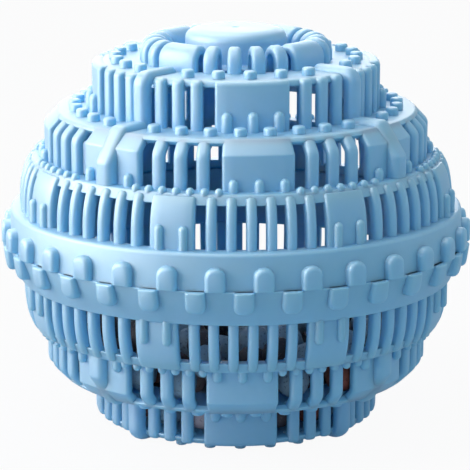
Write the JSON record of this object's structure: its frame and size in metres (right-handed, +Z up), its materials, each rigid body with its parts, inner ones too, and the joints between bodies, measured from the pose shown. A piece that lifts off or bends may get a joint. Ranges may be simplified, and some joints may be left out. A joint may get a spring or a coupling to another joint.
{
  "type": "laundry ball",
  "caption": "Slotted plastic ball in two halves, with stepped tiers and a toothed rim, twisted shut round loose ceramic beads for the wash.",
  "frame": {"origin": "centre of the ring of feet, in the plane that the ball rests on", "axes": "+Z up along the ball's axis of symmetry, which is also the twist lock's axis; -Y is the front, where the lower shell has a plain panel"},
  "size_m": [0.1, 0.1, 0.0839],
  "materials": {
    "sky_blue_plastic": "satin",
    "clay_bead": "matte",
    "pale_bead": "matte",
    "slate_bead": "matte",
    "dark_bead": "matte"
  },
  "bodies": {
    "lower_shell": {"lower_shell": "sky_blue_plastic", "clay_bead_01": "clay_bead", "clay_bead_02": "clay_bead", "clay_bead_03": "clay_bead", "clay_bead_04": "clay_bead", "clay_bead_05": "clay_bead", "clay_bead_06": "clay_bead", "clay_bead_07": "clay_bead", "clay_bead_08": "clay_bead", "clay_bead_09": "clay_bead", "clay_bead_10": "clay_bead", "clay_bead_11": "clay_bead", "clay_bead_12": "clay_bead", "clay_bead_13": "clay_bead", "clay_bead_14": "clay_bead", "clay_bead_15": "clay_bead", "clay_bead_16": "clay_bead", "clay_bead_17": "clay_bead", "clay_bead_18": "clay_bead", "dark_bead_01": "dark_bead", "dark_bead_02": "dark_bead", "dark_bead_03": "dark_bead", "dark_bead_04": "dark_bead", "dark_bead_05": "dark_bead", "dark_bead_06": "dark_bead", "dark_bead_07": "dark_bead", "dark_bead_08": "dark_bead", "dark_bead_09": "dark_bead", "dark_bead_10": "dark_bead", "dark_bead_11": "dark_bead", "dark_bead_12": "dark_bead", "dark_bead_13": "dark_bead", "pale_bead_01": "pale_bead", "pale_bead_02": "pale_bead", "pale_bead_03": "pale_bead", "pale_bead_04": "pale_bead", "pale_bead_05": "pale_bead", "pale_bead_06": "pale_bead", "pale_bead_07": "pale_bead", "pale_bead_08": "pale_bead", "pale_bead_09": "pale_bead", "pale_bead_10": "pale_bead", "pale_bead_11": "pale_bead", "pale_bead_12": "pale_bead", "pale_bead_13": "pale_bead", "slate_bead_01": "slate_bead", "slate_bead_02": "slate_bead", "slate_bead_03": "slate_bead", "slate_bead_04": "slate_bead", "slate_bead_05": "slate_bead", "slate_bead_06": "slate_bead", "slate_bead_07": "slate_bead", "slate_bead_08": "slate_bead", "slate_bead_09": "slate_bead", "slate_bead_10": "slate_bead", "slate_bead_11": "slate_bead", "slate_bead_12": "slate_bead"},
    "upper_shell": {"upper_shell": "sky_blue_plastic"}
  },
  "joints": [
    {"name": "twist_lock", "type": "hinge", "parent": "lower_shell", "child": "upper_shell", "pos_m": [0, 0, 0.0389], "axis": [0, 0, 1], "range_deg": [0, 18]}
  ]
}
